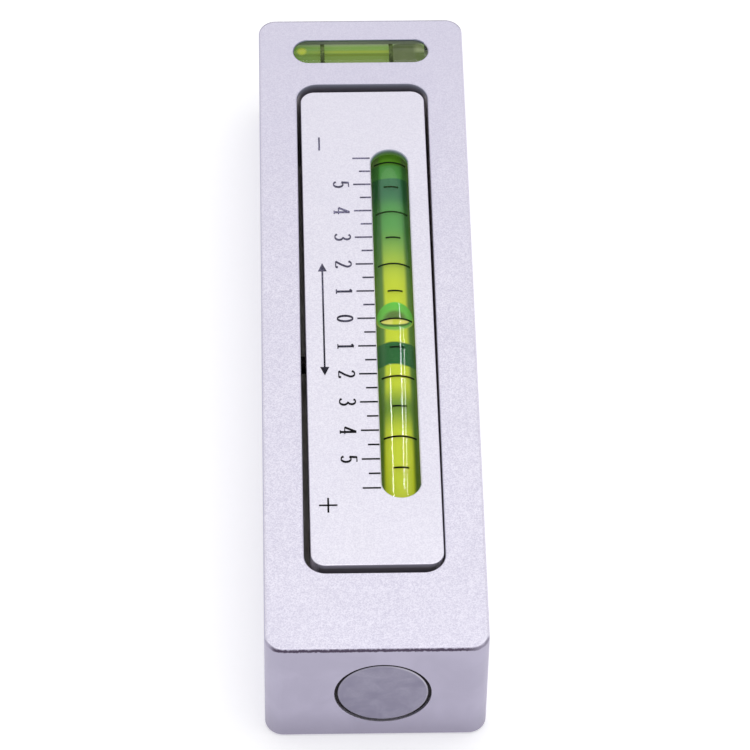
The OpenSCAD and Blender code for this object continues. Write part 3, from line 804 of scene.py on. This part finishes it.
def build_cross_dye():
    material, tree, shader = new_material("cross_dye", Roughness=0.6, Specular_IOR_Level=0.2,
                                          Emission_Strength=CROSS_GLOW)
    _, across, along, _ = place_of(tree)
    aside = maths(tree, "DIVIDE", across, CROSS_BORE_R)
    left = ease(tree, along, -2.5, -9)
    # painted light: paler towards the far side
    colour = colour_ramp(tree, aside, {-0.8: "#B6CA98", -0.6: "#9CBA70", -0.48: "#86AC52",
                                       -0.36: "#7A9E40", 0.1: "#708838"}, -1, 1)
    # painted light and shade: a bright line beside a dark one
    bright_line = overlap(tree, within(tree, aside, -0.21, 0.03, 0.09),
                          maths(tree, "MULTIPLY_ADD", left, -0.5, 0.9))
    colour = paint_mix(tree, bright_line, colour, "#90A232")
    dark_line = overlap(tree, within(tree, aside, -0.04, 0.03, 0.09), 0.9)
    colour = paint_mix(tree, dark_line, colour, "#65791B")
    colour = paint_mix(tree, overlap(tree, left, 0.35), colour, "#4F7E38")
    from_patch = how_far(tree, maths(tree, "DIVIDE", maths(tree, "ADD", along, 8.1), 0.75),
                         maths(tree, "DIVIDE", maths(tree, "ADD", aside, 0.29), 0.24))
    patch = ease(tree, maths(tree, "POWER", from_patch, 2), 1.5, 0.1)
    colour = paint_mix(tree, patch, colour, "#B2BE3C")
    shine(tree, shader, colour, lit=paint_mix(tree, CROSS_SHADE, colour, "#000000"))
    return material


finish_piece(cross_rod, "bar", build_cross_dye(), "liquid", "cross_vial_liquid")

# %% [markdown]
# ## The bubbles
# A bubble in a vial is a lens of air: its top follows the bore and its underside bulges down into the
# liquid. A squashed ball would stand clear of the bore at its sides. So each ring runs along the bore
# from one side to the other and back along the underside. Each bubble is its own piece, because it
# moves.

# %% Bubbles
BUBBLE_POINTS = 64
BUBBLE_STEPS = 48
BUBBLE_LIFT = 0.03
TIP_SHARE = 0.01


def bubble_rings(bore_r, half_length, half_turn, depth, powers, bend_r=None):
    """Rings from one end of a bubble to the other, each along its top and back along its underside.

    The two powers say how blunt its start and its end are: 0.5 is round, and less is blunter.
    """
    start_power, end_power = powers
    half = BUBBLE_POINTS // 2
    for step in range(BUBBLE_STEPS + 1):
        share = -cos(pi * min(max(step / BUBBLE_STEPS, TIP_SHARE), 1 - TIP_SHARE))
        reach = half_turn * (1 - share * share) ** (end_power if share > 0 else start_power)
        ring = []
        for index in range(BUBBLE_POINTS):
            turn = reach * cos(pi * index / half)
            sink = depth * sqrt(1 - share * share) * sin(pi * index / half) if index > half else 0
            radius = bore_r + BUBBLE_LIFT + sink
            ring.append(on_bend(share * half_length, radius * sin(turn), radius * cos(turn), bend_r))
        yield ring


MAIN_BUBBLE_HALF = 2.58
MAIN_BUBBLE_TURN = radians(54)
MAIN_BUBBLE_DEPTH = 1.2
main_rings = bubble_rings(BORE_R, MAIN_BUBBLE_HALF, MAIN_BUBBLE_TURN, MAIN_BUBBLE_DEPTH, (0.7, 0.5), BEND_R)
bubble_middle = middle_of("main_vial_bubble") * MM - bend_centre
rest_turn = atan2(bubble_middle.dot(main_along), bubble_middle.z)
about_bend = Matrix.Translation(bend_centre) @ Matrix.Rotation(-rest_turn, 4, main_across)
main_bubble = skin("main_bubble", main_rings, about_bend @ Matrix.Translation(-bend_centre) @ main_place)
print("bubble rests", round(degrees(rest_turn), 2), "degrees towards the far end")

CROSS_BUBBLE_TURN = radians(60)
CROSS_BUBBLE_DEPTH = 2.0
cross_rings = bubble_rings(CROSS_BORE_R, half_span("cross_vial_bubble", 0), CROSS_BUBBLE_TURN,
                           CROSS_BUBBLE_DEPTH, (0.2, 0.3))
cross_shift = middle_of("cross_vial_bubble").x * MM - cross_place.translation.x
cross_bubble = skin("cross_bubble", cross_rings, cross_place @ Matrix.Translation((0, cross_shift, 0)))

# %% [markdown]
# ## Air in the main vial
# Light that meets a bubble's edge at a shallow angle turns back. That leaves a bright green crescent on
# the far side, and a yellow lens with a dark green rim on the near side. The rod below is opaque, so
# clear air would only show its paint. The crescent and the lens are therefore ovals painted one over
# another on the bubble, and they move with it.

# %% Main air
def build_main_air():
    material, tree, shader = new_material("main_bubble_air", Roughness=0.5, Specular_IOR_Level=0.2,
                                          Emission_Strength=MAIN_GLOW)
    _, across, along, _ = place_of(tree)
    reach = (BORE_R + BUBBLE_LIFT) * sin(MAIN_BUBBLE_TURN)
    aside = maths(tree, "DIVIDE", across, reach)
    onward = maths(tree, "DIVIDE", along, MAIN_BUBBLE_HALF)

    def oval(centre, half_across, half_along):
        """0 in the middle of an oval on the bubble, and 1 at its edge."""
        return how_far(tree, maths(tree, "DIVIDE", aside, half_across),
                       maths(tree, "DIVIDE", maths(tree, "SUBTRACT", onward, centre), half_along))

    colour = colour_ramp(tree, onward, {-1.0: "#7DB23C", -0.7: "#6CAE42", 0.1: "#68B844",
                                        0.6: "#5FB43C", 1.0: "#5CB83E"}, -1, 1)
    colour = paint_mix(tree, ease(tree, oval(-0.05, 0.66, 0.5), 1.2, 0.6), colour, "#55752E")
    under = overlap(tree, ease(tree, oval(-0.16, 0.80, 0.58), 1.06, 0.98), ease(tree, onward, -0.2, -0.3))
    colour = paint_mix(tree, under, colour, "#3F6A20")
    lens = overlap(tree, ease(tree, oval(-0.12, 0.78, 0.46), 1.04, 0.96), ease(tree, onward, -0.10, -0.16))
    core = ease(tree, maths(tree, "ABSOLUTE", maths(tree, "SUBTRACT", aside, 0.05)), 0.3, 0.1)
    colour = paint_mix(tree, lens, colour, paint_mix(tree, core, "#DEDA6C", "#C9CE3C"))
    # painted highlight along the edge of the bubble's near half
    rim = overlap(tree, ease(tree, oval(0, 1, 1), 0.9, 0.97), ease(tree, onward, 0.3, -0.1), 0.8)
    shine(tree, shader, paint_mix(tree, rim, colour, "#A9BE4C"))
    return material


finish_piece(main_bubble, "main_bubble", build_main_air(), "bubble", "main_vial_bubble")

# %% [markdown]
# ## Air in the cross vial
# The cross vial's bubble is a dull olive patch over the right end, with painted light making it a little
# paler along its far side and at its own right end. It is painted too, with the same glow as the liquid
# round it, so that both are equally bright under the lip.

# %% Cross air
def build_cross_air():
    material, tree, shader = new_material("cross_bubble_air", Roughness=0.5, Specular_IOR_Level=0.2,
                                          Emission_Strength=CROSS_GLOW)
    here, across, along, _ = place_of(tree)
    cloud = use_group(tree, smudges, Place=here, Size=2.0)["Cloud"]
    colour = paint_mix(tree, cloud, "#59653E", "#636F46")
    # painted light: paler along the far side and at the right end
    colour = paint_mix(tree, ease(tree, across, -1.3, -2.3), colour, "#74805E")
    end_light = paint_mix(tree, ease(tree, across, -0.9, -0.2), "#8E996E", "#576736")
    colour = paint_mix(tree, ease(tree, along, 0.4, 1.5), colour, end_light)
    shine(tree, shader, colour, lit=paint_mix(tree, CROSS_SHADE, colour, "#000000"))
    return material


finish_piece(cross_bubble, "cross_bubble", build_cross_air(), "bubble", "cross_vial_bubble")

# %% [markdown]
# ## The clear tubes
# Both tubes keep their shape, with a true wall and bore, so they bend the light as real ones do. They
# cast no shadow and don't stop the light that bounces inside them, which stands for the light that real
# clear tube lets through to its liquid.

# %% Clear tube
CLEAR_TUBES = ("main_vial", "cross_vial")


def build_clear_tube():
    material, tree, shader = new_material("clear_plastic", Transmission_Weight=1.0, IOR=1.49,
                                          Specular_Tint="#A9A9A9")
    cloud = use_group(tree, smudges, Place=place_of(tree)[0], Size=5.0)["Cloud"]
    feed(tree, shader.inputs["Base Color"], paint_mix(tree, cloud, "#F4FBF2", "#FBFEFA"))
    feed(tree, shader.inputs["Roughness"], maths(tree, "MULTIPLY_ADD", cloud, 0.006, 0.006))
    return material


dress(build_clear_tube(), *CLEAR_TUBES)
for name in CLEAR_TUBES:
    frame["nodes"][name].visible_shadow = False
    frame["nodes"][name].visible_diffuse = False

# %% [markdown]
# ## The zero screws
# Set screws have no head: a thread from end to end, a hexagon socket in one end and a rounded point at
# the other. A thread is a ridge whose height depends on how far a point lies along the screw and round
# it, so the radius of each ring comes from both. The socket is a hexagon with as many points as the
# rings, so the same skin runs on over the end and down into it.

# %% Screws
SCREW_R = 2.0
THREAD_PITCH = 0.7
THREAD_DEPTH = 0.38
SOCKET_ACROSS = 2.0
SOCKET_DEPTH = 1.8
MOUTH_DEPTH = 0.12
MOUTH_WIDENING = 0.1
TIP_R = 4.0
SMALLEST_R = 0.02
SCREW_POINTS = 48
STEPS_PER_TURN = 10


def circle_ring(height, radius_at):
    """A ring at a height, whose radius is worked out for each direction round it."""
    turns = [2 * pi * index / SCREW_POINTS for index in range(SCREW_POINTS)]
    return [(radius_at(turn) * cos(turn), radius_at(turn) * sin(turn), height) for turn in turns]


def hexagon(turn):
    return SOCKET_ACROSS / 2 / cos((turn + pi / 6) % (pi / 3) - pi / 6)


def screw_rings(length):
    def thread(turn, height):
        phase = (height / THREAD_PITCH - turn / (2 * pi)) % 1
        ridge = SCREW_R - THREAD_DEPTH * abs(2 * phase - 1)
        dome = sqrt(max(TIP_R ** 2 - (height - length + TIP_R) ** 2, SMALLEST_R ** 2))
        return min(ridge, SCREW_R - THREAD_DEPTH + height, dome)

    yield circle_ring(SOCKET_DEPTH, lambda turn: SMALLEST_R)
    yield circle_ring(SOCKET_DEPTH, hexagon)
    yield circle_ring(MOUTH_DEPTH, hexagon)
    yield circle_ring(0, lambda turn: hexagon(turn) + MOUTH_WIDENING)
    steps = round(length / THREAD_PITCH * STEPS_PER_TURN)
    for step in range(steps + 1):
        height = length * step / steps
        yield circle_ring(height, lambda turn: thread(turn, height))


for end in ("far", "near"):
    plain_screw = "zero_screw_" + end
    low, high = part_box(plain_screw)
    base = Vector(((low.x + high.x) / 2, (low.y + high.y) / 2, low.z))
    screw = skin(end + "_set_screw", screw_rings((high.z - low.z) / MM), Matrix.Translation(base))
    steel = build_steel(end + "_blackened_steel", "#1E1E22", "#3A3A40", (0, 0, 0), Z_AXIS, 0.34)
    finish_piece(screw, end + "_screw", steel, "black_steel", plain_screw)

# %% [markdown]
# ## Floor and sky
# The gauge lies on a white floor under a white sky. A plain sky lights the metal evenly, and a colour
# comes out about as it is written. It is dimmer as a lamp than as a background, and the floor glows a
# little when it is looked at, so both show white without washing out the gauge. The floor can't be seen
# from below and doesn't stop the sky's light on its way up, so that the back can be looked at too.

# %% Floor and sky
FLOOR_SIZE = 8
FLOOR_DROP = 0.05 * MM
FLOOR_GLOW = 0.3
SKY_LEVEL = 0.76


def seen_directly(tree):
    """1 for what the camera sees straight on, in a reflection or through clear tube."""
    light = node(tree, "LightPath").outputs
    reflected = maths(tree, "MAXIMUM", light["Is Glossy Ray"], light["Is Transmission Ray"])
    return maths(tree, "MAXIMUM", light["Is Camera Ray"], reflected)


def build_floor_paint():
    material, tree, shader = new_material("white_floor", Roughness=0.9, Specular_IOR_Level=0.1)
    feed(tree, shader.inputs["Base Color"], "#F4F4F6")
    feed(tree, shader.inputs["Emission Color"], "#FFFFFF")
    glow = maths(tree, "MULTIPLY", seen_directly(tree), FLOOR_GLOW)
    feed(tree, shader.inputs["Emission Strength"], glow)
    behind = node(tree, "NewGeometry").outputs["Backfacing"]
    clear = node(tree, "BsdfTransparent")
    shown = node(tree, "MixShader", {0: behind, 1: shader.outputs[0], 2: clear.outputs[0]})
    feed(tree, tree.nodes["Material Output"].inputs["Surface"], shown.outputs[0])
    return material


def build_floor():
    shape = bmesh.new()
    bmesh.ops.create_grid(shape, x_segments=8, y_segments=8, size=FLOOR_SIZE / 2)
    mesh = bpy.data.meshes.new("floor")
    shape.to_mesh(mesh)
    shape.free()
    mesh.materials.append(build_floor_paint())
    floor = bpy.data.objects.new("floor", mesh)
    floor.location.z = -FLOOR_DROP
    floor.visible_diffuse = False
    bpy.context.collection.objects.link(floor)


def build_sky():
    world = bpy.data.worlds.new("white_sky")
    world.use_nodes = True
    tree = world.node_tree
    backdrop = tree.nodes["Background"]
    level = maths(tree, "MULTIPLY_ADD", seen_directly(tree), 1 - SKY_LEVEL, SKY_LEVEL)
    feed(tree, backdrop.inputs["Color"], "#FFFFFF")
    feed(tree, backdrop.inputs["Strength"], level)
    bpy.context.scene.world = world


build_floor()
build_sky()
print("floor", FLOOR_SIZE, "m wide, sky at", SKY_LEVEL)

# %% [markdown]
# ## Lamps
# Three narrow lamps behind the gauge draw the long streaks on the tubes. A streak could be painted, but
# it would not move as the view does. Each lamp reaches from one direction to another, which are the two
# that the streak's ends mirror. The lamps light nothing else, because on the metal they would only wash
# out the grain. A soft lamp overhead makes the near end of the bar a little brighter than the far end.

# %% Lamps
LAMP_DISTANCE = 1.6
OVERHEAD_SIZE = 0.22
OVERHEAD_LEVEL = 2.2
OVERHEAD_PLACE = (0.06, -0.02, 0.45)

only_tubes = bpy.data.collections.new("only_tubes")
for name in CLEAR_TUBES:
    only_tubes.objects.link(frame["nodes"][name])


def direction(side, rise):
    """A direction given by degrees to the right of the far end and degrees above the floor."""
    side, rise = radians(side), radians(rise)
    return Vector((sin(side) * cos(rise), cos(side) * cos(rise), sin(rise)))


def strip_lamp(name, start, end, width, strength):
    """A flat strip of light that reaches from one direction to another and faces the gauge."""
    start_place, end_place = [direction(*angles) * LAMP_DISTANCE for angles in (start, end)]
    middle = (start_place + end_place) / 2
    span = end_place - start_place
    lamp_data = bpy.data.lights.new(name, "AREA")
    lamp_data.shape = "RECTANGLE"
    lamp_data.size = width
    lamp_data.size_y = span.length
    lamp_data.energy = strength * pi * lamp_data.size * lamp_data.size_y
    lamp = bpy.data.objects.new(name, lamp_data)
    along = span.normalized()
    lamp.matrix_world = frame_at(middle, along.cross(middle.normalized()), along)
    lamp.light_linking.receiver_collection = only_tubes
    bpy.context.collection.objects.link(lamp)


strip_lamp("right_strip", (25.5, 44), (30, 60.5), 0.07, 46)
strip_lamp("far_right_strip", (38.5, 37.5), (44, 53), 0.08, 17)
strip_lamp("left_strip", (-32.5, 46.7), (-47, 51), 0.12, 28)

overhead_data = bpy.data.lights.new("overhead", "AREA")
overhead_data.size = OVERHEAD_SIZE
overhead_data.energy = OVERHEAD_LEVEL * pi * OVERHEAD_SIZE ** 2
overhead = bpy.data.objects.new("overhead", overhead_data)
overhead.location = OVERHEAD_PLACE
overhead.rotation_euler = overhead.location.to_track_quat("Z", "Y").to_euler()
bpy.context.collection.objects.link(overhead)
print("lamps", [light.name for light in bpy.data.lights])
